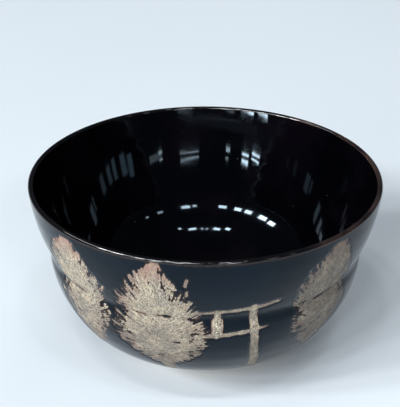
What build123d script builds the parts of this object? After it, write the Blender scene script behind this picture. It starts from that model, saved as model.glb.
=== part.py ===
"""Black-glazed stoneware bowl with brushed buff trees and a gate.

The pot is a thrown body on a turned foot ring. A thin coat of glaze covers it inside
and out, and windows in the outer coat hold strokes of coarse buff slip.

Frame: origin at the centre of the foot's underside, +Z up, -Y towards the gate's side.
Angles round the bowl are measured from -Y, positive towards +X. Sizes are in mm.
"""

import math
import os

from build123d import *

# Driving dimensions of the pot
RIM_RADIUS = 75.0
BOWL_HEIGHT = 80.0
LIP_RADIUS = 1.2
LIP_FLATS = 8
CREASE_RADIUS = 66.4
CREASE_HEIGHT = 49.5
WALL_CURVE_RADIUS = 78.0
FOOT_HEIGHT = 6.5
FOOT_OUTER_RADIUS = 29.5
FOOT_INNER_RADIUS = 24.5
FOOT_FLARE = 1.5
FOOT_CHAMFER = 0.8

# Glaze and slip
GLAZE_THICKNESS = 0.5
SLIP_RECESS = 0.2

# The belly's arcs, drawn down from the crease to the glaze line: radius and turn
BELLY_START_HEADING = -53.6
BELLY_ARCS = [(5.4, 42.6), (49.3, 32.7), (33.3, 38.6)]
# The bare clay goes on along the last arc to the hip
HIP_TURN = 9.5
# The inside's arcs, drawn down from the lip, before the last one that levels out
INSIDE_START_HEADING = -103.0
INSIDE_ARCS = [(230.0, 10.8), (36.5, 60.5)]

# Brushed trees: angle, share of the full width, top of the leaves, foot of the leaves
TREES = {
    "tree_centre": (-15.0, 1.0, BOWL_HEIGHT, 21.5),
    "tree_left": (-47.5, 0.8, 76.0, 24.0),
    "tree_right": (44.5, 0.8, 76.0, 24.5),
    "tree_back_right": (104.0, 0.9, 77.0, 23.0),
    "tree_back_middle": (150.0, 0.8, 75.0, 25.0),
    "tree_back_tall": (-162.0, 0.95, BOWL_HEIGHT, 22.0),
    "tree_back_left": (-110.0, 0.85, 76.0, 24.0),
}
TREES_WITH_TRUNK = ("tree_centre", "tree_back_tall")
TREE_HALF_WIDTH = 17.0
TREE_GAP_RISE = 2.0
TRUNK_HALF_WIDTH = 2.6
TRUNK_FOOT = 14.0

# Brushed gate, in the plane that faces it
GATE_ANGLE = 10.0
GATE_SLOPE = 5.0
LINTEL_LENGTH = 32.5
LINTEL_THICKNESS = 2.4
LINTEL_MIDDLE = (1.0, 54.4)
TIE_BEAM_LENGTH = 28.0
TIE_BEAM_THICKNESS = 2.0
TIE_BEAM_MIDDLE = (-0.8, 43.4)
STRUT_HALF_WIDTHS = (1.4, 2.0)
STRUT_MIDDLE_X = -7.0
POST_TOP = (7.3, 53.5)
POST_FOOT = (9.3, 16.0)
POST_HALF_WIDTHS = (1.7, 1.2)

# Stray touches of the brush beside the middle tree: angle, height and length
DABS = [(-5.5, 69.8, 4.0), (-5.8, 64.6, 3.0)]
DAB_WIDTH = 1.8

# A window is cut through the outer coat from outside the rim to well inside the wall
WINDOW_START = RIM_RADIUS + 5.0
WINDOW_DEPTH = 45.0

CREASE = Vector(CREASE_RADIUS, CREASE_HEIGHT)
LIP_CENTRE = Vector(RIM_RADIUS - LIP_RADIUS, BOWL_HEIGHT - LIP_RADIUS)


def polar(distance, degrees):
    """A step in the cross-section, its angle measured up from the outward radius."""
    return Vector(distance, 0).rotate(Axis.Z, degrees)


def wall_centre():
    """The centre of the wall's curve, which passes the crease and runs into the lip."""
    spread = (LIP_CENTRE - CREASE).length
    to_crease = WALL_CURVE_RADIUS
    to_lip = WALL_CURVE_RADIUS - LIP_RADIUS
    along = (to_crease**2 - to_lip**2 + spread**2) / (2 * spread)
    across = math.sqrt(to_crease**2 - along**2)
    up = (LIP_CENTRE - CREASE).normalized()
    return CREASE + up * along + up.rotate(Axis.Z, 90) * across


def angle_from(centre, point):
    """The angle of one point as seen from another, in degrees."""
    return math.degrees(math.atan2(point.Y - centre.Y, point.X - centre.X))


def draw_clockwise_arcs(start, heading, arcs, depth):
    """Arcs that run into each other, moved to their centres' side by depth; returns the last."""
    point = start + polar(depth, heading - 90)
    for radius, turn in arcs:
        arc = JernArc(point, polar(1, heading), radius - depth, -turn)
        point = arc @ 1
        heading -= turn
    return arc


def draw_outside(depth):
    """The outside at a depth below its surface; returns its ends, at lip and glaze line."""
    centre = wall_centre()
    crease_angle = angle_from(centre, CREASE)
    lip_angle = angle_from(centre, LIP_CENTRE)
    wall = CenterArc(
        centre, WALL_CURVE_RADIUS - depth, crease_angle, lip_angle - crease_angle
    )
    if depth:
        belly_angle = BELLY_START_HEADING - 90
        CenterArc(CREASE, depth, crease_angle - 180, belly_angle - crease_angle + 180)
    belly = draw_clockwise_arcs(CREASE, BELLY_START_HEADING, BELLY_ARCS, depth)
    return wall @ 1, belly @ 1


def draw_lip(depth):
    """The lip at a depth below its surface, as a ring of short flats; returns its ends."""
    start = angle_from(wall_centre(), LIP_CENTRE)
    turn = INSIDE_START_HEADING + 270 - start
    corners = []
    for number in range(LIP_FLATS + 1):
        angle = start + turn * number / LIP_FLATS
        corners.append(LIP_CENTRE + polar(LIP_RADIUS - depth, angle))
    Polyline(*corners)
    return corners[0], corners[-1]


def draw_inside(depth):
    """The inside at a depth below its surface; returns its ends, at lip and mid-floor."""
    lip_inside = LIP_CENTRE + polar(LIP_RADIUS, INSIDE_START_HEADING - 90)
    wall = draw_clockwise_arcs(lip_inside, INSIDE_START_HEADING, INSIDE_ARCS, -depth)
    level_turn = 180 + INSIDE_START_HEADING - sum(turn for _, turn in INSIDE_ARCS)
    level_radius = (wall @ 1).X / math.sin(math.radians(level_turn))
    floor = JernArc(wall @ 1, wall % 1, level_radius, -level_turn)
    return lip_inside + polar(depth, INSIDE_START_HEADING + 90), floor @ 1


def coat_section(draw_surface, upper, lower):
    """The cross-section of a coat between two depths below the glazed surface."""
    with BuildSketch(Plane.XZ) as section:
        with BuildLine():
            upper_ends = draw_surface(upper)
            lower_ends = draw_surface(lower)
            Line(upper_ends[0], lower_ends[0])
            Line(upper_ends[1], lower_ends[1])
        make_face()
    return section.sketch


def facing_plane(angle):
    """The upright plane outside the rim that faces a motif, with x to the viewer's right."""
    turn = math.radians(angle)
    outward = Vector(math.sin(turn), -math.cos(turn), 0)
    return Plane(
        origin=outward * WINDOW_START,
        x_dir=(math.cos(turn), math.sin(turn), 0),
        z_dir=outward,
    )


def tree_window(angle, share, top, foot, with_trunk):
    """The space behind one tree: a pointed upper tier, a fuller lower tier and a trunk."""
    half_width = share * TREE_HALF_WIDTH
    tier_foot = CREASE_HEIGHT + TREE_GAP_RISE
    base = TRUNK_HALF_WIDTH if with_trunk else 0.3 * half_width
    with BuildPart() as window:
        with BuildSketch(facing_plane(angle)):
            with BuildLine():
                for side in (-1, 1):
                    Spline(
                        (0, top),
                        (side * 0.45 * half_width, top - 0.38 * (top - tier_foot)),
                        (side * 0.95 * half_width, tier_foot),
                    )
                    Line(
                        (side * 0.95 * half_width, tier_foot),
                        (side * 0.85 * half_width, CREASE_HEIGHT),
                    )
                    Spline(
                        (side * 0.85 * half_width, CREASE_HEIGHT),
                        (side * half_width, CREASE_HEIGHT - 6.0),
                        (side * 0.72 * half_width, 0.6 * foot + 0.4 * CREASE_HEIGHT),
                        (side * base, foot),
                    )
                Line((-base, foot), (base, foot))
            make_face()
            if with_trunk:
                with Locations((0, (foot + TRUNK_FOOT) / 2)):
                    Rectangle(2 * TRUNK_HALF_WIDTH, foot - TRUNK_FOOT)
        extrude(amount=-WINDOW_DEPTH)
    return window.part


def bar_window(angle, middle, length, thickness, slope):
    """The space behind one straight brush stroke with rounded ends."""
    with BuildPart() as window:
        with BuildSketch(facing_plane(angle)):
            with Locations(Location(middle, slope)):
                SlotOverall(length, thickness)
        extrude(amount=-WINDOW_DEPTH)
    return window.part


def tapered_window(angle, top, foot, half_widths):
    """The space behind one upright stroke whose width changes from top to foot."""
    corners = [
        (top[0] - half_widths[0], top[1]),
        (foot[0] - half_widths[1], foot[1]),
        (foot[0] + half_widths[1], foot[1]),
        (top[0] + half_widths[0], top[1]),
    ]
    with BuildPart() as window:
        with BuildSketch(facing_plane(angle)):
            with BuildLine():
                Polyline(*corners, close=True)
            make_face()
        extrude(amount=-WINDOW_DEPTH)
    return window.part


def keep_piece(piece, name):
    """Labels one finished piece and writes its STEP file."""
    piece.label = name
    export_step(piece, f"parts/{name}.step")


os.makedirs("parts", exist_ok=True)

# The whole outer coat, before its windows are cut
with BuildPart() as outer_coat:
    add(coat_section(draw_outside, 0, GLAZE_THICKNESS))
    revolve(axis=Axis.Z)

# The lower part of that coat's depth, which slip can fill
with BuildPart() as slip_coat:
    add(coat_section(draw_outside, SLIP_RECESS, GLAZE_THICKNESS))
    revolve(axis=Axis.Z)

with BuildPart() as inner_glaze:
    add(coat_section(draw_inside, 0, GLAZE_THICKNESS))
    revolve(axis=Axis.Z)
keep_piece(inner_glaze.part, "inner_glaze")

with BuildPart() as lip_glaze:
    add(coat_section(draw_lip, 0, GLAZE_THICKNESS))
    revolve(axis=Axis.Z)
keep_piece(lip_glaze.part, "lip_glaze")

with BuildPart() as stoneware_body:
    with BuildSketch(Plane.XZ):
        with BuildLine():
            glaze_line = draw_outside(GLAZE_THICKNESS)[1]
            draw_lip(GLAZE_THICKNESS)
            floor = draw_inside(GLAZE_THICKNESS)[1]
            glazed_turn = sum(turn for _, turn in BELLY_ARCS)
            hip_heading = BELLY_START_HEADING - glazed_turn
            step = glaze_line + polar(GLAZE_THICKNESS, hip_heading + 90)
            hip = JernArc(step, polar(1, hip_heading), BELLY_ARCS[-1][0], -HIP_TURN) @ 1
            Line(glaze_line, step)
            Polyline(hip, (hip.X, FOOT_HEIGHT), (0, FOOT_HEIGHT), floor)
        make_face()
    revolve(axis=Axis.Z)
keep_piece(stoneware_body.part, "stoneware_body")

with BuildPart() as foot_ring:
    with BuildSketch(Plane.XZ):
        with BuildLine():
            Polyline(
                (FOOT_INNER_RADIUS, 0),
                (FOOT_OUTER_RADIUS, 0),
                (FOOT_OUTER_RADIUS + FOOT_FLARE, FOOT_HEIGHT),
                (FOOT_INNER_RADIUS - FOOT_FLARE, FOOT_HEIGHT),
                close=True,
            )
        make_face()
    revolve(axis=Axis.Z)
    chamfer(foot_ring.faces().sort_by(Axis.Z)[0].edges(), FOOT_CHAMFER)
keep_piece(foot_ring.part, "foot_ring")

windows = {}
for name, (angle, share, top, foot) in TREES.items():
    windows[name] = tree_window(angle, share, top, foot, name in TREES_WITH_TRUNK)

windows["gate_lintel"] = bar_window(
    GATE_ANGLE, LINTEL_MIDDLE, LINTEL_LENGTH, LINTEL_THICKNESS, GATE_SLOPE
)
windows["gate_tie_beam"] = bar_window(
    GATE_ANGLE, TIE_BEAM_MIDDLE, TIE_BEAM_LENGTH, TIE_BEAM_THICKNESS, GATE_SLOPE
)
strut_top = (STRUT_MIDDLE_X, LINTEL_MIDDLE[1])
strut_foot = (STRUT_MIDDLE_X, TIE_BEAM_MIDDLE[1])
windows["gate_strut"] = tapered_window(GATE_ANGLE, strut_top, strut_foot, STRUT_HALF_WIDTHS)
windows["gate_post"] = tapered_window(GATE_ANGLE, POST_TOP, POST_FOOT, POST_HALF_WIDTHS)

with BuildPart() as dab_windows:
    for angle, height, length in DABS:
        add(bar_window(angle, (0, height), length, DAB_WIDTH, 90))
windows["brush_dabs"] = dab_windows.part

# Where two strokes cross, the later one in this list gives way
PAINTING_ORDER = [*TREES, "gate_lintel", "gate_post", "gate_tie_beam", "gate_strut", "brush_dabs"]
for number, name in enumerate(PAINTING_ORDER):
    with BuildPart() as stroke:
        add(slip_coat.part)
        add(windows[name], mode=Mode.INTERSECT)
        for earlier in PAINTING_ORDER[:number]:
            if earlier.startswith(("gate", "tree_centre")):
                add(windows[earlier], mode=Mode.SUBTRACT)
    keep_piece(stroke.part, name)

with BuildPart() as outer_glaze:
    add(outer_coat.part)
    for name in PAINTING_ORDER:
        add(windows[name], mode=Mode.SUBTRACT)
keep_piece(outer_glaze.part, "outer_glaze")
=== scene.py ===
"""Looks for the black-glazed stoneware bowl with brushed buff trees and a gate.

Shapes are worked out in millimetres, in the CAD part's own frame, and meshes are in metres.
Angles round the bowl are in degrees from -Y, positive towards +X. A place on the outside
is an angle and a fall, which is the distance down the wall from the lip.
"""

import math

import bpy
import numpy as np
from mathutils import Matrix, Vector


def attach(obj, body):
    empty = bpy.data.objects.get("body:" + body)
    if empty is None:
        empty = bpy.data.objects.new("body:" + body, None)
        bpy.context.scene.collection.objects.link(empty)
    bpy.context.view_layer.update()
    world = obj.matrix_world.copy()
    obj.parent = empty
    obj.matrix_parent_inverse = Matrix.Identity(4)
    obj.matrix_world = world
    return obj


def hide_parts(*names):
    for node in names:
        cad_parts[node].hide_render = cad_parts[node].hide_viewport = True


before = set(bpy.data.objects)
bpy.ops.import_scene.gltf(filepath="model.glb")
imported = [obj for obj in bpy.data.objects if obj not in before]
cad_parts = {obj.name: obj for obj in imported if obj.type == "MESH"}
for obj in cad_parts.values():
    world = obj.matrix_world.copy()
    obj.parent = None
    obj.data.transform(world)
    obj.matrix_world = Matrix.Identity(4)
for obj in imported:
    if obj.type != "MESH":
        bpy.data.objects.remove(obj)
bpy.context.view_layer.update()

MM = 0.001

# The pot, with the sizes of the CAD part. A heading is an angle up from the outward radius, and
# an arc is a radius and a turn clockwise. The last arc of the belly turns a little further, on
# the bare hip where the glaze stops
RIM_RADIUS = 75.0
BOWL_HEIGHT = 80.0
LIP_RADIUS = 1.2
CREASE = np.array([66.4, 49.5])
WALL_CURVE_RADIUS = 78.0
BELLY_START_HEADING = -53.6
BELLY_ARCS = ((5.4, 42.6), (49.3, 32.7), (33.3, 38.6))
HIP_TURN = 9.5
INSIDE_START_HEADING = -103.0
INSIDE_ARCS = ((230.0, 10.8), (36.5, 60.5))
FOOT_HEIGHT = 6.5
FOOT_OUTER_RADIUS = 29.5
FOOT_INNER_RADIUS = 24.5
FOOT_FLARE = 1.5
FOOT_ROUNDING = 0.9
GLAZE_THICKNESS = 0.5
SLIP_RECESS = 0.2
LIP_CENTRE = np.array([RIM_RADIUS - LIP_RADIUS, BOWL_HEIGHT - LIP_RADIUS])

# How finely cross-sections are worked out
PROFILE_STEP = 0.1
# How finely the outside is cut, where a calm block is this many cells each way
COLUMNS = 840
ROW_STEP = 0.5
BLOCK = 4
# How finely the turned pieces are made, round the bowl and along the cross-section
LATHE_COLUMNS = 256
LIP_COLUMNS = 512
CLAY_COLUMNS = 192
LATHE_STEP = 1.2
BODY_STEP = 0.8
LIP_STEPS = 16

# Glaze edges round off over this width, and the crease is softened by this much
GLAZE_ROLL = 0.9
CREASE_SOFTNESS = 1.2
# The glaze is made of larger faces where it is this far from every motif
CALM_DISTANCE = 1.9

# Motifs are drawn flat, in millimetres at this radius
DRAWING_RADIUS = 68.0
MM_PER_DEGREE = DRAWING_RADIUS * math.pi / 180
# A motif's field is a signed distance to its edge, negative inside. It is held level past FAR,
# and no tree reaches further from its middle than TREE_REACH
FAR = 9.0
TREE_REACH = 24.0
# A field closer to zero than this is moved off, so that no cut falls on a lattice point
LEAST_FIELD = 0.02

# Each tree: its angle, seed, trunk, and its outline as fall, reach to left and reach to right
# in degrees, first for the tier above the crease and then for the tier below it
FRONT_UPPER = (
    (-0.5, 1, 1), (4, 3.5, 2.5), (7, 7.5, 4), (10, 8.5, 5.5),
    (15, 11, 8), (20, 14, 10.5), (28, 15.5, 13.5), (30.5, 14, 12.5),
)
FRONT_LOWER = (
    (29.5, 14.5, 13), (33, 17.5, 15.5), (40, 17.5, 16), (47, 16, 14.5),
    (53, 12.5, 10.5), (58, 7.5, 5), (61, 3, 2.5),
)
SIDE_UPPER = ((2, 2, 3), (6, 6, 6), (10, 8.5, 7.5), (20, 13, 12.5), (28, 13, 11), (30.5, 11.5, 9.5))
SIDE_LOWER = ((29.5, 10, 10), (34, 13, 13), (38, 12.5, 13), (45, 9.5, 9.5), (52, 6, 7), (60, 1.5, 2))
RIGHT_UPPER = ((2, 2, 3), (6, 5, 5.5), (10, 10, 7), (20, 13.5, 11), (28, 13, 13), (30.5, 12, 12))
RIGHT_LOWER = ((29.5, 11.5, 12), (34, 13, 13.5), (42, 12.5, 13.5), (50, 8.5, 9), (59, 2, 2))
TREES = {
    "tree_centre": (-15.0, 11, True, FRONT_UPPER, FRONT_LOWER),
    "tree_left": (-47.5, 12, False, SIDE_UPPER, SIDE_LOWER),
    "tree_right": (44.5, 13, False, RIGHT_UPPER, RIGHT_LOWER),
    "tree_back_right": (104.0, 14, False, RIGHT_UPPER, SIDE_LOWER),
    "tree_back_middle": (150.0, 15, False, SIDE_UPPER, RIGHT_LOWER),
    "tree_back_tall": (-162.0, 16, True, FRONT_UPPER, FRONT_LOWER),
    "tree_back_left": (-110.0, 17, False, SIDE_UPPER, SIDE_LOWER),
}
# The brush strokes of a tier fan out from a place this far past its middle line, at this fall
UPPER_FAN = (0.0, 42.0)
LOWER_FAN = (10.0, 46.0)
# The solid middle of a tier fills this share of its outline, and strokes make the rest
BODY_SHARE = 0.74
STROKE_SPACING = 1.25
STROKE_LENGTHS = (6.0, 14.0)
# Gaps across a tree: fall, wander, how open the gap is on the whole, and its greatest half width
GAPS = ((29.9, 0.8, 0.30, 0.55), (42.5, 0.6, 0.10, 0.32))
# The trunk: its start, its end and their half widths, and the fall at which it is cut off
TRUNK = ((-0.3, 57), (1.2, 78), 3.0, 3.4)
TRUNK_END = 72.5
# How much the slip is darkened on the two tiers of a tree, on most of them and on the two that
# differ: the lower tier is darker, and on tree_right both tiers are darkened much more, as painted
# shade on the side of the bowl away from the light
USUAL_DARKENING = (0.10, 0.44)
TREE_DARKENING_AND_SHADE = {"tree_centre": (0.10, 0.57), "tree_right": (0.71, 0.82)}

# Each stroke of the gate and each dab: start, end and their half widths, in drawing millimetres
GATE_ANGLE = 10.0
GATE = {
    "gate_lintel": [
        ((-16.0, 26.6), (0.0, 25.2), 0.8, 1.05),
        ((0.0, 25.2), (10.5, 24.2), 1.05, 1.1),
        ((10.5, 24.2), (17.0, 22.8), 1.1, 0.7),
    ],
    "gate_tie_beam": [
        ((-15.5, 38.6), (-4.0, 37.9), 0.9, 0.95),
        ((-4.0, 37.9), (5.9, 36.8), 0.95, 0.9),
        ((8.5, 36.3), (14.0, 35.6), 1.1, 0.25),
    ],
    "gate_strut": [
        ((-6.9, 25.6), (-6.9, 31.0), 1.3, 1.35),
        ((-7.1, 31.6), (-7.1, 37.6), 2.4, 2.1),
    ],
    "gate_post": [
        ((7.2, 24.2), (7.6, 32.0), 1.5, 1.8),
        ((7.6, 32.0), (9.2, 48.0), 1.7, 1.8),
        ((9.2, 48.0), (13.0, 69.0), 1.8, 2.4),
    ],
}
DABS_ANGLE = -5.5
DABS = [
    ((0.2, 7.3), (-0.5, 10.4), 0.55, 0.75),
    ((0.1, 13.2), (-0.2, 15.6), 0.45, 0.5),
    ((0.6, 18.8), (0.3, 20.6), 0.4, 0.45),
]


# ---------------------------------------------------------------- cross-sections


def polar(distance, degrees):
    """A step in the cross-section, its angle measured up from the outward radius."""
    turn = math.radians(degrees)
    return distance * np.array([math.cos(turn), math.sin(turn)])


def angle_from(centre, point):
    """The angle of one point as seen from another, in degrees."""
    return math.degrees(math.atan2(point[1] - centre[1], point[0] - centre[0]))


def walk_arcs(start, heading, arcs):
    """Points along arcs that turn clockwise, and each point's direction from its centre."""
    points = [start]
    facings = [heading + 90]
    for radius, turn in arcs:
        centre = points[-1] + polar(radius, heading - 90)
        count = max(2, round(radius * math.radians(turn) / PROFILE_STEP))
        for number in range(1, count + 1):
            facing = heading + 90 - turn * number / count
            points.append(centre + polar(radius, facing))
            facings.append(facing)
        heading -= turn
    facings = np.radians(facings)
    return np.array(points), np.stack([np.cos(facings), np.sin(facings)], 1)


def wall_centre():
    """The centre of the wall's curve, which passes the crease and runs into the lip."""
    spread = np.linalg.norm(LIP_CENTRE - CREASE)
    to_lip = WALL_CURVE_RADIUS - LIP_RADIUS
    along = (WALL_CURVE_RADIUS**2 - to_lip**2 + spread**2) / (2 * spread)
    across = math.sqrt(WALL_CURVE_RADIUS**2 - along**2)
    up = (LIP_CENTRE - CREASE) / spread
    return CREASE + up * along + np.array([-up[1], up[0]]) * across


def fall_of(points):
    """The distance along a line of points from its start."""
    steps = np.linalg.norm(np.diff(points, axis=0), axis=1)
    return np.concatenate([[0.0], np.cumsum(steps)])


def outside_profile(arcs):
    """Points and outward normals down the outside from the lip, with the crease softened."""
    centre = wall_centre()
    lip_angle = angle_from(centre, LIP_CENTRE)
    crease_angle = angle_from(centre, CREASE)
    start = centre + polar(WALL_CURVE_RADIUS, lip_angle)
    wall_turn = lip_angle - crease_angle
    wall, _ = walk_arcs(start, lip_angle - 90, ((WALL_CURVE_RADIUS, wall_turn),))
    belly, _ = walk_arcs(CREASE, BELLY_START_HEADING, arcs)
    points = np.vstack([wall, belly[1:]])
    reach = round(4 * CREASE_SOFTNESS / PROFILE_STEP)
    offsets = np.arange(-reach, reach + 1) * PROFILE_STEP
    kernel = np.exp(-0.5 * (offsets / CREASE_SOFTNESS) ** 2)
    kernel /= kernel.sum()
    middle = slice(reach, len(points) - reach)
    smooth = points.copy()
    for axis in range(2):
        smooth[middle, axis] = np.convolve(points[:, axis], kernel, "valid")
    tangents = np.gradient(smooth, axis=0)
    tangents /= np.linalg.norm(tangents, axis=1)[:, None]
    return smooth, np.stack([-tangents[:, 1], tangents[:, 0]], 1)


def inside_profile():
    """Points down the inside from the lip to the middle, and normals into the clay."""
    start = LIP_CENTRE + polar(LIP_RADIUS, INSIDE_START_HEADING - 90)
    points, _ = walk_arcs(start, INSIDE_START_HEADING, INSIDE_ARCS)
    level_turn = 180 + INSIDE_START_HEADING - sum(turn for _, turn in INSIDE_ARCS)
    level_radius = points[-1][0] / math.sin(math.radians(level_turn))
    return walk_arcs(start, INSIDE_START_HEADING, (*INSIDE_ARCS, (level_radius, level_turn)))


def rounded_section(corners, steps=5):
    """A closed outline whose corners are rounded by their third number."""
    outline = []
    for number, (x, y, rounding) in enumerate(corners):
        here = np.array([x, y])
        before = np.array(corners[number - 1][:2]) - here
        after = np.array(corners[(number + 1) % len(corners)][:2]) - here
        if rounding == 0:
            outline.append(here)
            continue
        before = before / np.linalg.norm(before) * rounding
        after = after / np.linalg.norm(after) * rounding
        for share in np.linspace(0, 1, steps):
            outline.append(here + before * (1 - share) ** 2 + after * share**2)
    return outline


def thin_out(values, step=LATHE_STEP):
    """Every so many of a profile's points, keeping the last."""
    stride = max(1, round(step / PROFILE_STEP))
    return np.vstack([values[:-1][::stride], values[-1:]])


# ---------------------------------------------------------------- meshes


def finish_object(mesh, name, node, material):
    """Puts a mesh in the scene as the piece that stands for a CAD node."""
    piece = bpy.data.objects.new(name, mesh)
    bpy.context.scene.collection.objects.link(piece)
    mesh.materials.append(material)
    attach(piece, "root")
    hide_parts(node)
    return piece


def lathe(name, section, columns=LATHE_COLUMNS):
    """A mesh turned from a closed cross-section. A point on the axis becomes a pole."""
    angles = np.arange(columns) * 2 * math.pi / columns
    vertices = []
    rings = []
    for radius, height in section:
        first = len(vertices)
        if radius < 1e-6:
            vertices.append((0.0, 0.0, height * MM))
            rings.append([first] * columns)
            continue
        for angle in angles:
            x = radius * math.sin(angle) * MM
            y = -radius * math.cos(angle) * MM
            vertices.append((x, y, height * MM))
        rings.append(list(range(first, first + columns)))
    faces = []
    for upper, lower in zip(rings, rings[1:] + rings[:1]):
        for column in range(columns):
            following = (column + 1) % columns
            corners = (upper[column], lower[column], lower[following], upper[following])
            distinct = tuple(dict.fromkeys(corners))
            if len(distinct) > 2:
                faces.append(distinct)
    mesh = bpy.data.meshes.new(name)
    mesh.from_pydata(vertices, [], faces)
    mesh.shade_smooth()
    mesh.set_sharp_from_angle(angle=math.radians(35))
    mesh.update()
    return mesh


# ---------------------------------------------------------------- the outside as a lattice

OUTSIDE, OUTSIDE_NORMALS = outside_profile(BELLY_ARCS)
OUTSIDE_FALL = fall_of(OUTSIDE)
ROWS = BLOCK * round(OUTSIDE_FALL[-1] / ROW_STEP / BLOCK)
ROW_FALL = np.linspace(0.0, OUTSIDE_FALL[-1], ROWS + 1)
COLUMN_ANGLE = np.arange(COLUMNS) * 360.0 / COLUMNS - 180.0
ANGLE, FALL = np.meshgrid(COLUMN_ANGLE, ROW_FALL, indexing="ij")


def surface_at(depth):
    """Positions in metres of the whole lattice at a depth below the glazed surface."""
    radius = np.interp(FALL, OUTSIDE_FALL, OUTSIDE[:, 0])
    height = np.interp(FALL, OUTSIDE_FALL, OUTSIDE[:, 1])
    radius = radius - depth * np.interp(FALL, OUTSIDE_FALL, OUTSIDE_NORMALS[:, 0])
    height = height - depth * np.interp(FALL, OUTSIDE_FALL, OUTSIDE_NORMALS[:, 1])
    turn = np.radians(ANGLE)
    return np.stack([radius * np.sin(turn), -radius * np.cos(turn), height], -1) * MM


def normals_of(positions):
    """Outward normals of a lattice of positions, which closes on itself round the bowl."""
    round_way = np.roll(positions, -1, 0) - np.roll(positions, 1, 0)
    down_way = np.gradient(positions, axis=1)
    normals = np.cross(down_way, round_way)
    return normals / np.linalg.norm(normals, axis=-1)[..., None]


def from_motif(angle):
    """The lattice's sideways distance from a motif's middle, in drawing millimetres."""
    return ((ANGLE - angle + 180) % 360 - 180) * MM_PER_DEGREE


def smoothstep(value, low, high):
    """A smooth rise from 0 at the low value to 1 at the high one."""
    share = np.clip((value - low) / (high - low), 0, 1)
    return share * share * (3 - 2 * share)


NOISE_CELLS = 128


def plane_noise(x, y, seed):
    """Smooth noise from -1 to 1 over a plane of unit cells, the same on every run."""
    table = np.random.default_rng(seed).uniform(-1, 1, (NOISE_CELLS, NOISE_CELLS))
    column = np.floor(x).astype(int)
    row = np.floor(y).astype(int)
    across = smoothstep(x - column, 0, 1)
    down = smoothstep(y - row, 0, 1)
    left = column % NOISE_CELLS
    right = (column + 1) % NOISE_CELLS
    top = row % NOISE_CELLS
    bottom = (row + 1) % NOISE_CELLS
    upper = table[left, top] * (1 - across) + table[right, top] * across
    lower = table[left, bottom] * (1 - across) + table[right, bottom] * across
    return upper * (1 - down) + lower * down


def stroke_field(x, y, start, end, start_width, end_width):
    """Signed distance to a tapered stroke with round ends, negative inside."""
    run = np.array([end[0] - start[0], end[1] - start[1]])
    share = ((x - start[0]) * run[0] + (y - start[1]) * run[1]) / (run @ run)
    share = np.clip(share, 0, 1)
    distance = np.hypot(x - start[0] - share * run[0], y - start[1] - share * run[1])
    return distance - (start_width + (end_width - start_width) * share)


def tier_field(x, y, outline):
    """Rough signed distance to a tier's solid middle, which fills a share of its outline."""
    falls, lefts, rights = np.array(outline).T
    left = np.interp(y, falls, lefts * MM_PER_DEGREE * BODY_SHARE)
    right = np.interp(y, falls, rights * MM_PER_DEGREE * BODY_SHARE)
    sideways = np.maximum(x - right, -left - x) * 0.85
    return np.maximum(sideways, np.maximum(falls[0] - y, y - falls[-1]))


def tier_strokes(outline, fan, rng):
    """Bristle strokes of a tier, and the nicks between them, which fan out from one place.

    Each is its two ends and their half widths. Nicks are wider on the left, as by the same hand.
    """
    falls, lefts, rights = np.array(outline).T
    height = falls[-1] - falls[0]
    count = 2 * round(height / STROKE_SPACING)
    strokes = []
    nicks = []
    for side, reaches, widest in ((-1, lefts, 0.5), (1, rights, 0.3)):
        for number in range(count):
            fall = falls[0] + (number + rng.uniform(0.1, 0.9)) / count * height
            reach = np.interp(fall, falls, reaches) * MM_PER_DEGREE
            tip = np.array([side * reach * rng.uniform(0.95, 1.07), fall])
            from_fan = tip - (-side * fan[0], fan[1])
            distance = np.linalg.norm(from_fan)
            length = min(rng.uniform(*STROKE_LENGTHS), 0.85 * distance)
            root = tip - from_fan / distance * length
            if number % 2:
                nick_width = rng.uniform(0.0, widest) * np.interp(reach, (3, 12), (0.2, 1))
                nicks.append((tip, tip + 0.8 * (root - tip), nick_width, 0.05))
            else:
                strokes.append((root, tip, rng.uniform(0.7, 1.3), rng.uniform(0.12, 0.4)))
    return strokes, nicks


def tree_field(angle, seed, with_trunk, upper, lower):
    """Signed distance to a brushed tree: two tiers, the gaps across them and a trunk.

    The edge is then made uneven by a fine noise and a broader one.
    """
    x = from_motif(angle)
    rng = np.random.default_rng(seed)
    near = np.abs(x) < TREE_REACH
    near_x = x[near]
    near_y = FALL[near]
    field = np.full(near_x.shape, FAR)
    for outline, fan in ((upper, UPPER_FAN), (lower, LOWER_FAN)):
        tier = tier_field(near_x, near_y, outline)
        strokes, nicks = tier_strokes(outline, fan, rng)
        for stroke in strokes:
            tier = np.minimum(tier, stroke_field(near_x, near_y, *stroke))
        for nick in nicks:
            tier = np.maximum(tier, -stroke_field(near_x, near_y, *nick))
        tier = np.maximum(tier, np.maximum(outline[0][0] - near_y, near_y - outline[-1][0]))
        field = np.minimum(field, tier)
    for number, (fall, wander, openness, widest) in enumerate(GAPS):
        gap_seed = seed + 50 + 50 * number
        line = fall + wander * plane_noise(near_x / 4.5, near_y * 0, gap_seed)
        gap = np.minimum(1.3 * plane_noise(near_x / 3.4, near_y * 0, gap_seed + 1) + openness, widest)
        field = np.maximum(field, gap - np.abs(near_y - line))
    if with_trunk:
        trunk = stroke_field(near_x, near_y, *TRUNK)
        field = np.minimum(field, np.maximum(trunk, near_y - TRUNK_END))
    field = field + 0.2 * plane_noise(near_x / 0.9, near_y / 0.9, seed + 180)
    field = field + 0.3 * plane_noise(near_x / 2.3, near_y / 2.3, seed + 190)
    whole = np.full(x.shape, FAR)
    whole[near] = np.minimum(field, FAR)
    return whole


def bar_field(angle, strokes, seed):
    """Signed distance to brush strokes drawn beside an angle, with slightly uneven edges."""
    x = from_motif(angle)
    y = FALL
    field = np.full(x.shape, FAR)
    for stroke in strokes:
        field = np.minimum(field, stroke_field(x, y, *stroke))
    fine_wobble = 0.22 * plane_noise(x / 1.1, y / 1.1, seed)
    broad_wobble = 0.18 * plane_noise(x / 3, y / 3, seed + 1)
    return field + fine_wobble + broad_wobble


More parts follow.
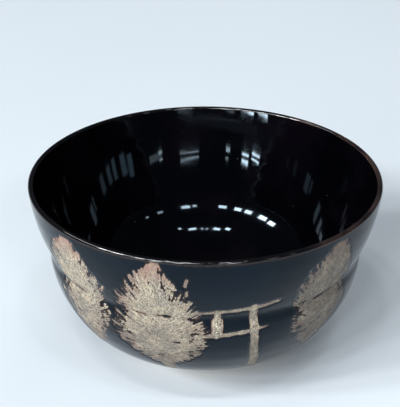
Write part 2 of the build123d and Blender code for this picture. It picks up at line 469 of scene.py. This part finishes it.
FIELDS = {}
for motif, tree in TREES.items():
    FIELDS[motif] = tree_field(*tree)
for number, (motif, strokes) in enumerate(GATE.items()):
    FIELDS[motif] = bar_field(GATE_ANGLE, strokes, 30 + number)
FIELDS["brush_dabs"] = bar_field(DABS_ANGLE, DABS, 40)

# The nearest motif at each lattice point, and the distance to it
MOTIFS = list(FIELDS)
STACK = np.stack([FIELDS[motif] for motif in MOTIFS])
OWNER = STACK.argmin(0)
FIELD = STACK.min(0)
PUSHED = np.where(FIELD < 0, -LEAST_FIELD, LEAST_FIELD)
FIELD = np.where(np.abs(FIELD) < LEAST_FIELD, PUSHED, FIELD)


# ---------------------------------------------------------------- cutting the lattice


def cut_share(here, following):
    """How far from one point to the next the field crosses zero, where it does."""
    following = np.where(following == here, here - 1, following)
    return here / (here - following)


def cell_corners(values):
    """Lattice values at the four corners of every cell."""
    following = np.roll(values, -1, 0)
    return values[:, :-1], values[:, 1:], following[:, :-1], following[:, 1:]


def places_of(mask):
    """The column and row of each true place in a mask."""
    columns, rows = np.nonzero(mask)
    return list(zip(columns.tolist(), rows.tolist()))


INSIDE = FIELD < 0
INSIDE_CORNERS = sum(cell_corners(INSIDE.astype(int)))
ROUND_CUT = cut_share(FIELD, np.roll(FIELD, -1, 0))
DOWN_CUT = cut_share(FIELD[:, :-1], FIELD[:, 1:])
# Points are numbered in three runs: the lattice, the cuts round the bowl, the cuts down it
POINTS = COLUMNS * (ROWS + 1)
ROUND_START = POINTS
DOWN_START = 2 * POINTS


def with_cuts(values):
    """Lattice values followed by their values at the cuts round the bowl and down it."""
    wide = values.reshape(COLUMNS, ROWS + 1, -1)
    round_cut = np.clip(ROUND_CUT, 0, 1)[..., None]
    down_cut = np.clip(DOWN_CUT, 0, 1)[..., None]
    at_round = wide * (1 - round_cut) + np.roll(wide, -1, 0) * round_cut
    at_down = wide[:, :-1] * (1 - down_cut) + wide[:, 1:] * down_cut
    flat = [part.reshape(-1, wide.shape[2]) for part in (wide, at_round, at_down)]
    return np.vstack(flat)


def point_id(column, row):
    """The number of a lattice point."""
    return (column % COLUMNS) * (ROWS + 1) + row


def round_cut_id(column, row):
    """The number of the cut between a point and the next one round the bowl."""
    return ROUND_START + point_id(column, row)


def down_cut_id(column, row):
    """The number of the cut between a point and the next one down the wall."""
    return DOWN_START + (column % COLUMNS) * ROWS + row


def cut_cell(column, row):
    """One cell's polygons on each side of the motif edge, as (inside, outside) lists.

    Corner k of a cell is followed by cut k, on the side that leads to the next corner. Where
    two opposite corners are inside, each is a tip of its own and the glaze runs between them.
    """
    corners = ((column, row), (column, row + 1), (column + 1, row + 1), (column + 1, row))
    cuts = (
        down_cut_id(column, row),
        round_cut_id(column, row + 1),
        down_cut_id(column + 1, row),
        round_cut_id(column, row),
    )
    sides = [bool(INSIDE[place[0] % COLUMNS, place[1]]) for place in corners]
    ids = [point_id(*place) for place in corners]
    if sides[0] == sides[2] and sides[1] == sides[3] and sides[0] != sides[1]:
        inside_tips = []
        outside_ring = []
        for k in range(4):
            if sides[k]:
                inside_tips.append((ids[k], cuts[k], cuts[k - 1]))
            else:
                outside_ring += [cuts[k - 1], ids[k], cuts[k]]
        return inside_tips, [tuple(outside_ring)]
    split = {True: [], False: []}
    for k in range(4):
        split[sides[k]].append(ids[k])
        if sides[k] != sides[(k + 1) % 4]:
            split[True].append(cuts[k])
            split[False].append(cuts[k])
    return [tuple(split[True])], [tuple(split[False])]


def quad_list(mask):
    """Whole cells picked by a mask, as quads that face outward."""
    columns, rows = np.nonzero(mask)
    following = (columns + 1) % COLUMNS
    width = ROWS + 1
    quads = np.stack(
        [
            columns * width + rows,
            columns * width + rows + 1,
            following * width + rows + 1,
            following * width + rows,
        ],
        1,
    )
    return [tuple(quad) for quad in quads.tolist()]


# Motif edges, cell by cell: each polygon goes to the glaze or to the motif that owns it
motif_faces = {motif: [] for motif in MOTIFS}
glaze_faces = []
for column, row in places_of((INSIDE_CORNERS > 0) & (INSIDE_CORNERS < 4)):
    inside, outside = cut_cell(column, row)
    for polygon in inside:
        places = [n for n in polygon if n < POINTS]
        owner = MOTIFS[OWNER[places[0] // (ROWS + 1), places[0] % (ROWS + 1)]]
        motif_faces[owner].append(polygon)
    glaze_faces += outside
whole_owner = OWNER[:, :-1]
for number, motif in enumerate(MOTIFS):
    motif_faces[motif] += quad_list((INSIDE_CORNERS == 4) & (whole_owner == number))

# Away from the motifs the glaze is made of larger blocks that keep their neighbours' points
calm_cells = np.logical_and.reduce(cell_corners(FIELD > CALM_DISTANCE))
block_shape = (COLUMNS // BLOCK, BLOCK, ROWS // BLOCK, BLOCK)
calm_blocks = calm_cells.reshape(block_shape).all(axis=(1, 3))
fine_cells = ~np.repeat(np.repeat(calm_blocks, BLOCK, 0), BLOCK, 1)
glaze_faces += quad_list((INSIDE_CORNERS == 0) & fine_cells)


def block_polygon(block_column, block_row):
    """A calm block's outline, with every lattice point along sides that meet fine cells."""
    left = block_column * BLOCK
    top = block_row * BLOCK
    columns, rows = calm_blocks.shape
    steps = range(BLOCK)

    def is_fine(column, row):
        return 0 <= row < rows and not calm_blocks[column % columns, row]

    sides = (
        (is_fine(block_column - 1, block_row), [(left, top + k) for k in steps]),
        (is_fine(block_column, block_row + 1), [(left + k, top + BLOCK) for k in steps]),
        (is_fine(block_column + 1, block_row), [(left + BLOCK, top + BLOCK - k) for k in steps]),
        (is_fine(block_column, block_row - 1), [(left + BLOCK - k, top) for k in steps]),
    )
    outline = []
    for fine, places in sides:
        outline += places if fine else places[:1]
    return tuple(point_id(*place) for place in outline)


for block_column, block_row in places_of(calm_blocks):
    glaze_faces.append(block_polygon(block_column, block_row))


def corner_normals(vertices, normals, front_faces, back_faces, edge_faces):
    """A normal for each corner of each face: smooth at the front and back, flat at the edges."""
    corner_list = []
    for face in front_faces:
        corner_list += [normals[n] for n in face]
    for face in back_faces:
        corner_list += [-normals[n - len(normals)] for n in face]
    for face in edge_faces:
        corners = vertices[list(face)]
        facing = np.cross(corners[1] - corners[0], corners[2] - corners[1])
        facing = facing / max(np.linalg.norm(facing), 1e-12)
        corner_list += [facing] * 4
    return np.array(corner_list).tolist()


def closed_coat(name, faces, front, back, front_normals, extras, uv=None):
    """A closed skin from outward faces: their front, the same faces at the back, and edges.

    Extras are named values at the points, such as how far each is from the motif's edge.
    """
    used = sorted({n for face in faces for n in face})
    place = {n: k for k, n in enumerate(used)}
    count = len(used)
    front_faces = [tuple(place[n] for n in face) for face in faces]
    back_faces = [tuple(count + n for n in reversed(face)) for face in front_faces]
    directed = {(a, b) for face in front_faces for a, b in zip(face, face[1:] + face[:1])}
    edge_faces = [(b, a, count + a, count + b) for a, b in directed if (b, a) not in directed]
    edge_faces.sort()
    vertices = np.vstack([front[used], back[used]])
    mesh = bpy.data.meshes.new(name)
    mesh.from_pydata(vertices.tolist(), [], front_faces + back_faces + edge_faces)
    mesh.shade_smooth()
    normals = front_normals[used]
    mesh.normals_split_custom_set(corner_normals(vertices, normals, front_faces, back_faces, edge_faces))
    both_sides = used + used
    if uv is not None:
        layer = mesh.uv_layers.new(name="stroke")
        corner_vertices = np.zeros(len(mesh.loops), np.int32)
        mesh.loops.foreach_get("vertex_index", corner_vertices)
        corner_uv = uv[both_sides][corner_vertices]
        layer.data.foreach_set("uv", corner_uv.ravel().astype(np.float32))
    for label, values in extras.items():
        attribute = mesh.attributes.new(label, "FLOAT", "POINT")
        attribute.data.foreach_set("value", values[both_sides].ravel().astype(np.float32))
    mesh.update()
    return mesh


# ---------------------------------------------------------------- materials


class Shader:
    """A Principled material and short ways to add the nodes that feed it."""

    def __init__(self, name):
        self.material = bpy.data.materials.new(name)
        self.material.use_nodes = True
        self.nodes = self.material.node_tree.nodes
        self.links = self.material.node_tree.links
        self.principled = self.nodes["Principled BSDF"]
        self.place = self.nodes.new("ShaderNodeTexCoord").outputs["Object"]

    def constant(self, socket, value):
        """Sets one of the shader's own sockets."""
        self.principled.inputs[socket].default_value = value

    def feed(self, socket, output):
        """Leads an output into one of the shader's sockets."""
        self.links.new(output, self.principled.inputs[socket])

    def stretched(self, vector, scale):
        """A place or a UV multiplied along each axis, so that a pattern on it is stretched."""
        node = self.nodes.new("ShaderNodeMapping")
        node.inputs["Scale"].default_value = scale
        self.links.new(vector, node.inputs["Vector"])
        return node.outputs["Vector"]

    def axis(self, name):
        """One coordinate of the place on the surface, in metres."""
        node = self.nodes.new("ShaderNodeSeparateXYZ")
        self.links.new(self.place, node.inputs["Vector"])
        return node.outputs[name]

    def uv(self, name):
        """A mesh's own UV layer."""
        node = self.nodes.new("ShaderNodeUVMap")
        node.uv_map = name
        return node.outputs["UV"]

    def attribute(self, name):
        """A value that the mesh holds at its points."""
        node = self.nodes.new("ShaderNodeAttribute")
        node.attribute_name = name
        return node.outputs["Fac"]

    def noise(self, scale, detail=2.0, roughness=0.5, vector=None):
        """Cloudy noise about 0.5, over the place on the surface unless another is given."""
        node = self.nodes.new("ShaderNodeTexNoise")
        node.inputs["Scale"].default_value = scale
        node.inputs["Detail"].default_value = detail
        node.inputs["Roughness"].default_value = roughness
        self.links.new(vector or self.place, node.inputs["Vector"])
        return node.outputs["Fac"]

    def cells(self, scale):
        """Distance to the nearest of many scattered points, and that point's random colour."""
        node = self.nodes.new("ShaderNodeTexVoronoi")
        node.inputs["Scale"].default_value = scale
        self.links.new(self.place, node.inputs["Vector"])
        return node.outputs["Distance"], node.outputs["Color"]

    def band(self, value, low, high, start=0.0, end=1.0):
        """A value moved from one range to another, smoothly and held at the ends."""
        node = self.nodes.new("ShaderNodeMapRange")
        node.interpolation_type = "SMOOTHSTEP"
        node.inputs["From Min"].default_value = low
        node.inputs["From Max"].default_value = high
        node.inputs["To Min"].default_value = start
        node.inputs["To Max"].default_value = end
        self.links.new(value, node.inputs["Value"])
        return node.outputs["Result"]

    def combined(self, operation, first, second):
        """Two values put together by arithmetic; each is a number or an output."""
        node = self.nodes.new("ShaderNodeMath")
        node.operation = operation
        for socket, value in zip(node.inputs, (first, second)):
            if isinstance(value, (int, float)):
                socket.default_value = value
            else:
                self.links.new(value, socket)
        return node.outputs["Value"]

    def blend(self, share, first, second):
        """A colour part of the way from one to another; each is a colour or an output."""
        node = self.nodes.new("ShaderNodeMix")
        node.data_type = "RGBA"
        self.links.new(share, node.inputs[0])
        for socket, value in ((node.inputs[6], first), (node.inputs[7], second)):
            if isinstance(value, tuple):
                socket.default_value = (*value, 1.0)
            else:
                self.links.new(value, socket)
        return node.outputs[2]

    def bump(self, height, distance):
        """Fine relief, from a height that counts over a distance in metres."""
        node = self.nodes.new("ShaderNodeBump")
        node.inputs["Distance"].default_value = distance
        node.inputs["Strength"].default_value = 1.0
        self.links.new(height, node.inputs["Height"])
        self.feed("Normal", node.outputs["Normal"])


# Colours of the glazes
# The outer blacks lean blue: a painted reflection of blue sky on the black glaze
OUTER_BLACKS_AND_SKY_TINT = ((0.0005, 0.0016, 0.0038), (0.001, 0.0036, 0.0085))
INNER_BLACKS = ((0.0004, 0.0005, 0.0010), (0.0016, 0.0012, 0.0022))
BROKEN_BROWN = (0.030, 0.016, 0.011)
DUST = (0.10, 0.10, 0.10)
LIP_BLACK = (0.003, 0.0025, 0.003)
LIP_BROWN_AND_REFLECTION = (0.034, 0.021, 0.018)
# Colours of the slip
BUFF = (0.42, 0.35, 0.245)
GREY_BUFF = (0.265, 0.240, 0.192)
CREAM = (0.55, 0.477, 0.350)
PALE_GRAIN = (0.74, 0.67, 0.54)
BARE_STREAK = (0.10, 0.082, 0.068)
IRON_SPECK = (0.045, 0.038, 0.034)
HOLE = (0.06, 0.048, 0.04)
ROSY_FRINGE = (0.205, 0.120, 0.095)
ROSY_WASH = (0.27, 0.155, 0.12)
# The darkest slip colour below stands for thin slip, and on tree_right for painted shade
WORN_AND_SHADED = (0.108, 0.090, 0.077)
# Colours of the clay and of the floor
CLAY_DARK = (0.33, 0.235, 0.16)
CLAY_PALE = (0.45, 0.345, 0.25)
CLAY_SPECK = (0.07, 0.05, 0.04)
FLOOR_TONES = ((0.722, 0.789, 0.838), (0.742, 0.809, 0.858))


def glaze_material(name, darkest, palest, breaks_brown):
    """Black glaze, very glossy, clouded between two colours. It may break to brown where thin."""
    shader = Shader(name)
    cloud = shader.band(shader.noise(45, 3.0), 0.35, 0.7)
    colour = shader.blend(cloud, darkest, palest)
    if breaks_brown:
        ragged = shader.combined("MULTIPLY", shader.noise(900, 3.0), 0.9)
        thin = shader.combined("SUBTRACT", shader.attribute("thin"), ragged)
        colour = shader.blend(shader.band(thin, 0.0, 0.5), colour, BROKEN_BROWN)
    dust_distance, _ = shader.cells(130)
    dust = shader.band(dust_distance, 0.030, 0.020)
    colour = shader.blend(dust, colour, DUST)
    shader.feed("Base Color", colour)
    shader.feed("Roughness", shader.band(shader.noise(60, 4.0), 0.3, 0.75, 0.03, 0.075))
    shader.constant("IOR", 1.30)
    shader.constant("Specular Tint", (0.66, 0.86, 1.0, 1.0))
    shader.bump(shader.noise(170, 1.0), 0.00001)
    return shader.material


def lip_material():
    """The lip, where the glaze has run thin and brown. The brown grows towards +X as a painted reflection
    of a warm wooden wall on that side.
    """
    shader = Shader("lip_brown_glaze")
    # Real thin brown glaze in patches, plus a painted reflection of a warm wall that grows towards +X,
    # the right side
    painted_reflection_rightwards = shader.combined("MULTIPLY", shader.axis("X"), 5.0)
    cloud = shader.band(shader.combined("ADD", shader.noise(60, 4.0), painted_reflection_rightwards), 0.62, 0.98)
    colour = shader.blend(cloud, LIP_BLACK, LIP_BROWN_AND_REFLECTION)
    shader.feed("Base Color", colour)
    shader.feed("Roughness", shader.band(shader.noise(400, 2.0), 0.3, 0.7, 0.03, 0.08))
    shader.constant("IOR", 1.5)
    shader.bump(shader.noise(300, 1.0), 0.000004)
    return shader.material


def slip_material():
    """Coarse buff slip: sand, iron specks, brush streaks, and a rosy fringe and top."""
    shader = Shader("brushed_buff_slip")
    stroke = shader.uv("stroke")
    streak = shader.noise(1.0, 3.0, 0.6, shader.stretched(stroke, (0.9, 0.10, 1.0)))
    fine_streak = shader.noise(1.0, 2.0, 0.6, shader.stretched(stroke, (2.3, 0.30, 1.0)))
    patches = shader.noise(150, 3.0, 0.6)
    colour = shader.blend(shader.band(patches, 0.38, 0.60), BUFF, GREY_BUFF)
    colour = shader.blend(shader.band(streak, 0.50, 0.66), colour, CREAM)
    dark_streak = shader.band(fine_streak, 0.48, 0.36, 0.0, 0.9)
    colour = shader.blend(dark_streak, colour, BARE_STREAK)
    _, grain_colour = shader.cells(1900)
    pale_grain = shader.band(grain_colour, 0.60, 0.85, 0.0, 0.6)
    colour = shader.blend(pale_grain, colour, PALE_GRAIN)
    specks = shader.band(shader.noise(1700, 2.0, 0.6), 0.45, 0.36, 0.0, 0.92)
    colour = shader.blend(specks, colour, IRON_SPECK)
    holes = shader.band(shader.noise(620, 2.0, 0.55), 0.36, 0.29, 0.0, 0.85)
    colour = shader.blend(holes, colour, HOLE)
    edge = shader.attribute("edge")
    frayed = shader.combined("ADD", edge, shader.combined("MULTIPLY", shader.noise(420, 3.0), -1.3))
    fringe = shader.band(frayed, 0.15, -0.55, 0.0, 0.65)
    rosy_places = shader.band(shader.noise(75, 2.0), 0.42, 0.62, 0.25, 1.0)
    rosy = shader.combined("MAXIMUM", shader.attribute("top"), rosy_places)
    colour = shader.blend(shader.combined("MULTIPLY", fringe, rosy), colour, ROSY_FRINGE)
    wash = shader.combined("MULTIPLY", shader.attribute("top"), shader.band(patches, 0.3, 0.6, 0.85, 0.5))
    colour = shader.blend(wash, colour, ROSY_WASH)
    # Darkening by the point value: thin slip on the gate, darker lower tiers, and painted shade on
    # tree_right
    wear_and_shade = shader.combined("MULTIPLY", shader.attribute("wear_and_shade"), shader.band(patches, 0.3, 0.6, 0.6, 1.0))
    colour = shader.blend(wear_and_shade, colour, WORN_AND_SHADED)
    shader.feed("Base Color", colour)
    shader.feed("Roughness", shader.band(shader.noise(700, 2.0), 0.3, 0.7, 0.55, 0.88))
    shader.constant("IOR", 1.4)
    ridges = shader.combined("MULTIPLY", fine_streak, 1.2)
    grit = shader.combined("ADD", shader.noise(1700, 3.0, 0.7), ridges)
    shader.bump(grit, 0.00014)
    return shader.material


def clay_material():
    """Bare speckled stoneware."""
    shader = Shader("bare_stoneware")
    cloud = shader.band(shader.noise(70, 4.0), 0.35, 0.7)
    colour = shader.blend(cloud, CLAY_DARK, CLAY_PALE)
    specks = shader.band(shader.noise(1300, 2.0), 0.36, 0.30, 0.0, 0.85)
    colour = shader.blend(specks, colour, CLAY_SPECK)
    shader.feed("Base Color", colour)
    shader.constant("Roughness", 0.82)
    shader.bump(shader.noise(1800, 3.0, 0.7), 0.00008)
    return shader.material


def floor_material():
    """A plain pale table top."""
    shader = Shader("pale_floor")
    tone = shader.band(shader.noise(3.0, 2.0), 0.3, 0.7)
    shader.feed("Base Color", shader.blend(tone, *FLOOR_TONES))
    shader.constant("Roughness", 0.42)
    shader.constant("IOR", 1.3)
    return shader.material


outer_black = glaze_material("outer_black_glaze", *OUTER_BLACKS_AND_SKY_TINT, True)
inner_black = glaze_material("inner_black_glaze", *INNER_BLACKS, False)
brown_lip = lip_material()
slip = slip_material()
clay = clay_material()


# ---------------------------------------------------------------- the glaze outside

# The glaze sinks to the slip at a motif's edge, with a low bead beside it. It has faint rings from
# the throwing, which fade out at motifs and at the lip
BEAD_HEIGHT = 0.03
BEAD_PLACE = 1.15
BEAD_WIDTH = 0.35

edge_sink = SLIP_RECESS * (1 - smoothstep(FIELD, 0.0, GLAZE_ROLL))
bead = BEAD_HEIGHT * np.exp(-(((FIELD - BEAD_PLACE) / BEAD_WIDTH) ** 2))
rings = 0.012 * np.sin(FALL * 0.9) + 0.008 * np.sin(FALL * 2.3 + 1.0)
calmness = smoothstep(FIELD, 0.0, CALM_DISTANCE) * smoothstep(FALL, 0.0, 3.0)
glaze_front = surface_at(edge_sink - bead + rings * calmness)
glaze_thin = np.exp(-np.maximum(FIELD, 0) / 0.55) + 0.8 * np.exp(-FALL / 0.5)
glaze_mesh = closed_coat(
    "outer_glaze_coat",
    glaze_faces,
    with_cuts(glaze_front),
    with_cuts(surface_at(GLAZE_THICKNESS)),
    with_cuts(normals_of(glaze_front)),
    {"thin": with_cuts(glaze_thin)},
)
finish_object(glaze_mesh, "outer_glaze_coat", "outer_glaze", outer_black)


# ---------------------------------------------------------------- the brushed slip

# The tiers of a tree meet at this fall. Streaks across the upper tier are as wide as drawn at
# the first distance from its fan, and those of the lower tier narrow by half at the second
TIER_CHANGE = 30
UPPER_SPREAD = 26
LOWER_SPREAD = 18
# How far the two beams of the gate rise for each millimetre to the right
BEAM_SLOPE = 0.09


def stroke_directions(motif):
    """Drawing millimetres across and along the brush strokes of one motif."""
    if motif in TREES:
        x = from_motif(TREES[motif][0])
        height = UPPER_FAN[1] - FALL
        above = FALL < TIER_CHANGE
        across_upper = UPPER_SPREAD * np.arctan2(x, height)
        across_lower = (FALL - LOWER_FAN[1]) * LOWER_SPREAD / (LOWER_SPREAD + np.abs(x))
        across = np.where(above, across_upper, across_lower)
        along = np.where(above, np.hypot(x, height), x)
        return across, along
    x = from_motif(GATE_ANGLE)
    if motif in ("gate_lintel", "gate_tie_beam"):
        return FALL + BEAM_SLOPE * x, x
    return x, FALL


def wear_and_shade_of(motif):
    """How much the slip is darkened: thin slip on the gate, more on lower tiers and towards the feet of
    trees and gate, and painted shade over all of tree_right, on the side away from the light.
    """
    if motif in TREES:
        upper, lower = TREE_DARKENING_AND_SHADE.get(motif, USUAL_DARKENING)
        tiers = upper + (lower - upper) * smoothstep(FALL, 26, 36)
        return tiers + 0.15 * smoothstep(FALL, 45, 62)
    if motif == "gate_post":
        return 0.15 + 0.55 * smoothstep(FALL, 34, 46)
    if motif == "gate_strut":
        return np.full(FALL.shape, 0.1)
    return np.full(FALL.shape, 0.4)


# Each motif's slip has ridges along its strokes, lumps and slow waves, which fade at its edge
for number, motif in enumerate(MOTIFS):
    across, along = stroke_directions(motif)
    seed = 200 + 10 * number
    ridges = 0.055 * plane_noise(across / 0.95, along / 7, seed)
    lumps = 0.05 * plane_noise(across / 1.2, along / 1.5, seed + 1)
    waves = 0.04 * plane_noise(across / 4, along / 5, seed + 2)
    faded = smoothstep(-FIELD, 0.0, 0.8)
    slip_front = surface_at(SLIP_RECESS + (ridges + lumps + waves - 0.05) * faded)
    slip_mesh = closed_coat(
        "slip_" + motif,
        motif_faces[motif],
        with_cuts(slip_front),
        with_cuts(surface_at(GLAZE_THICKNESS)),
        with_cuts(normals_of(slip_front)),
        {
            "edge": with_cuts(-FIELD),
            "top": with_cuts(1 - smoothstep(FALL, 2.0, 14.0)),
            "wear_and_shade": with_cuts(wear_and_shade_of(motif)),
        },
        uv=with_cuts(np.stack([across, along], -1)),
    )
    finish_object(slip_mesh, "slip_" + motif, motif, slip)


# ---------------------------------------------------------------- turned pieces

# The inner glaze, with faint rings from the thrower's fingers
inside_points, into_clay = inside_profile()
inside_points = thin_out(inside_points)
into_clay = thin_out(into_clay)
inside_fall = fall_of(inside_points)
inside_rings = 0.003 * np.sin(inside_fall * 0.8) * smoothstep(inside_fall, 0, 4)
inside_front = inside_points - into_clay * inside_rings[:, None]
inside_back = inside_points + into_clay * GLAZE_THICKNESS
inside_front[-1, 0] = 0.0
inside_back[-1, 0] = 0.0
inner_mesh = lathe("inner_glaze_coat", np.vstack([inside_front, inside_back[::-1]])[::-1])
finish_object(inner_mesh, "inner_glaze_coat", "inner_glaze", inner_black)

# The lip's band of glaze
lip_start = angle_from(wall_centre(), LIP_CENTRE)
lip_turn = INSIDE_START_HEADING + 270 - lip_start
lip_angles = [lip_start + lip_turn * step / LIP_STEPS for step in range(LIP_STEPS + 1)]
lip_outer = [LIP_CENTRE + polar(LIP_RADIUS, angle) for angle in lip_angles]
lip_inner = [LIP_CENTRE + polar(LIP_RADIUS - GLAZE_THICKNESS, angle) for angle in lip_angles]
lip_mesh = lathe("lip_glaze_band", lip_inner + lip_outer[::-1], LIP_COLUMNS)
lip_band = finish_object(lip_mesh, "lip_glaze_band", "lip_glaze", brown_lip)

# The clay, which fills what the coats enclose and is bare from the hip down. The lip's two end
# points are those of the coats beside it
hip_points, hip_normals = outside_profile((*BELLY_ARCS, (BELLY_ARCS[-1][0], HIP_TURN)))
hip_fall = fall_of(hip_points)
hip_depth = np.where(hip_fall < OUTSIDE_FALL[-1], GLAZE_THICKNESS, 0.0)
body_outside = thin_out(hip_points - hip_normals * hip_depth[:, None], BODY_STEP)
base_radii = np.linspace(body_outside[-1][0], 0.0, 40)
base_grooves = 0.12 * np.sin(base_radii * 1.9) * (base_radii < FOOT_INNER_RADIUS - 3)
body_base = np.stack([base_radii, FOOT_HEIGHT + base_grooves], 1)
body_section = np.vstack([inside_back[::-1], lip_inner[-2:0:-1], body_outside, body_base])
body_mesh = lathe("stoneware_wall", body_section, CLAY_COLUMNS)
finish_object(body_mesh, "stoneware_wall", "stoneware_body", clay)

# The foot ring, its corners as radius, height and rounding
foot_corners = (
    (FOOT_INNER_RADIUS - FOOT_FLARE, FOOT_HEIGHT, 0.0),
    (FOOT_INNER_RADIUS, 0.0, FOOT_ROUNDING),
    (FOOT_OUTER_RADIUS, 0.0, FOOT_ROUNDING),
    (FOOT_OUTER_RADIUS + FOOT_FLARE, FOOT_HEIGHT, 0.0),
)
foot_mesh = lathe("turned_foot_ring", rounded_section(foot_corners)[::-1], CLAY_COLUMNS)
finish_object(foot_mesh, "turned_foot_ring", "foot_ring", clay)


# ---------------------------------------------------------------- floor, camera and light

FLOOR_REACH = 6
floor_corners = [
    (-FLOOR_REACH, -FLOOR_REACH, 0),
    (FLOOR_REACH, -FLOOR_REACH, 0),
    (FLOOR_REACH, FLOOR_REACH, 0),
    (-FLOOR_REACH, FLOOR_REACH, 0),
]
floor_mesh = bpy.data.meshes.new("floor")
floor_mesh.from_pydata(floor_corners, [], [(0, 1, 2, 3)])
floor_mesh.materials.append(floor_material())
floor = bpy.data.objects.new("floor", floor_mesh)
bpy.context.scene.collection.objects.link(floor)

CAMERA_PLACE = (0.0, -0.4377, 0.2935)
CAMERA_PITCH = 27.50
CAMERA_YAW = -0.294
CAMERA_LENS = 101.2

camera_data = bpy.data.cameras.new("camera")
camera_data.lens = CAMERA_LENS
camera_data.sensor_width = 36.0
camera_data.clip_start = 0.01
camera = bpy.data.objects.new("camera", camera_data)
camera.location = CAMERA_PLACE
camera.rotation_euler = (math.radians(90 - CAMERA_PITCH), 0.0, math.radians(-CAMERA_YAW))
bpy.context.scene.collection.objects.link(camera)
bpy.context.scene.camera = camera

LIGHT_DISTANCE = 6.0
LIGHT_TARGET = Vector((0.0, 0.0, 0.05))
LIGHT_COLOUR = (0.96, 0.98, 1.0)
# Each light is its azimuth, elevation, width round the horizon, height and brightness. These are
# small panes that the glaze reflects: a row of lamps, and a higher row of them
LAMPS = [
    (58, 32.5, 3, 2.5, 14),
    (44, 32.5, 5, 3, 16),
    (18.5, 32.5, 8, 3.8, 46),
    (10, 32, 3.5, 3.2, 32),
    (-16.5, 32.5, 7.5, 3.8, 54),
    (-31.5, 32.5, 6.5, 4.4, 75),
    (-42, 32.5, 6.5, 4.4, 85),
    (-58, 33, 8, 5, 105),
    (-69, 34, 7, 5, 110),
]
HIGH_LAMPS = [
    (38, 62, 4, 2.5, 40),
    (21, 66, 12, 3.0, 58),
    (5, 67, 3, 2.2, 40),
    (-3, 67, 3, 2.2, 40),
    (-19, 66, 11, 3.2, 64),
    (-35, 63, 7, 3.4, 68),
]
# Windows low in the room, most of them of two panes one above the other
WINDOWS = [
    (12, 11.4, 14, 0.3, 20),
    (12, 12.9, 14, 0.3, 20),
    (38, 10.2, 10, 1.6, 3),
    (34, 9.6, 2.5, 0.5, 14),
    (34, 11.2, 2.5, 0.5, 14),
    (-17, 10.6, 3, 0.6, 24),
    (-16.5, 12.6, 2.4, 0.5, 10),
    (-30.5, 10.6, 5, 0.55, 70),
    (-30.5, 12.0, 5, 0.45, 70),
    (-38.5, 9.6, 6, 0.55, 70),
    (-38.5, 10.9, 6, 0.45, 65),
]
# The lowest panes, which show just under the lip, and the haze about them
LOWEST_PANES = [
    (14, 3.1, 10, 0.4, 26),
    (-17, 3.2, 6, 0.4, 22),
    (-29, 2.8, 9, 0.5, 75),
    (-40, 2.3, 7, 0.5, 75),
]
HAZE = [
    (-12, 6.0, 50, 2.2, 0.22),
    (-8, 5.0, 34, 0.5, 0.8),
]
PANES = LAMPS + HIGH_LAMPS + WINDOWS + LOWEST_PANES + HAZE
# Broad soft lights that brighten the slip and the floor, and aren't seen in the glaze
FILLS = [
    (-42, 16, 70, 20, 2.3),
    (150, 55, 50, 40, 1.1),
]
# Long lights that draw the bright line on the lip, and that only the lip shows
LIP_GLINTS = [
    (-32, 46, 56, 6, 24),
    (-84, 44, 60, 6, 14),
]


def place_light(number, azimuth, elevation, width, height, brightness):
    """A rectangle of light far off, turned to the bowl, of the size that the bowl sees."""
    turn = math.radians(azimuth)
    rise = math.radians(elevation)
    away = Vector((math.sin(turn) * math.cos(rise), -math.cos(turn) * math.cos(rise), math.sin(rise)))
    data = bpy.data.lights.new(f"pane_{number}", "AREA")
    data.shape = "RECTANGLE"
    data.size = 2 * LIGHT_DISTANCE * math.tan(math.radians(width / 2)) * math.cos(rise)
    data.size_y = 2 * LIGHT_DISTANCE * math.tan(math.radians(height / 2))
    data.energy = brightness * math.pi * data.size * data.size_y
    data.color = LIGHT_COLOUR
    light = bpy.data.objects.new(f"pane_{number}", data)
    light.location = LIGHT_TARGET + away * LIGHT_DISTANCE
    light.rotation_mode = "QUATERNION"
    light.rotation_quaternion = away.to_track_quat("Z", "Y")
    bpy.context.scene.collection.objects.link(light)
    return light


for number, pane in enumerate(PANES):
    place_light(number, *pane)
for number, fill in enumerate(FILLS, len(PANES)):
    light = place_light(number, *fill)
    light.visible_glossy = False
lit_by_glints = bpy.data.collections.new("lit_by_glints")
lit_by_glints.objects.link(lip_band)
for number, glint in enumerate(LIP_GLINTS, len(PANES) + len(FILLS)):
    light = place_light(number, *glint)
    light.visible_diffuse = False
    light.light_linking.receiver_collection = lit_by_glints

world = bpy.data.worlds.new("dim_room")
world.use_nodes = True
world.node_tree.nodes["Background"].inputs["Color"].default_value = (0.05, 0.058, 0.070, 1.0)
bpy.context.scene.world = world
bpy.context.scene.view_settings.view_transform = "Standard"
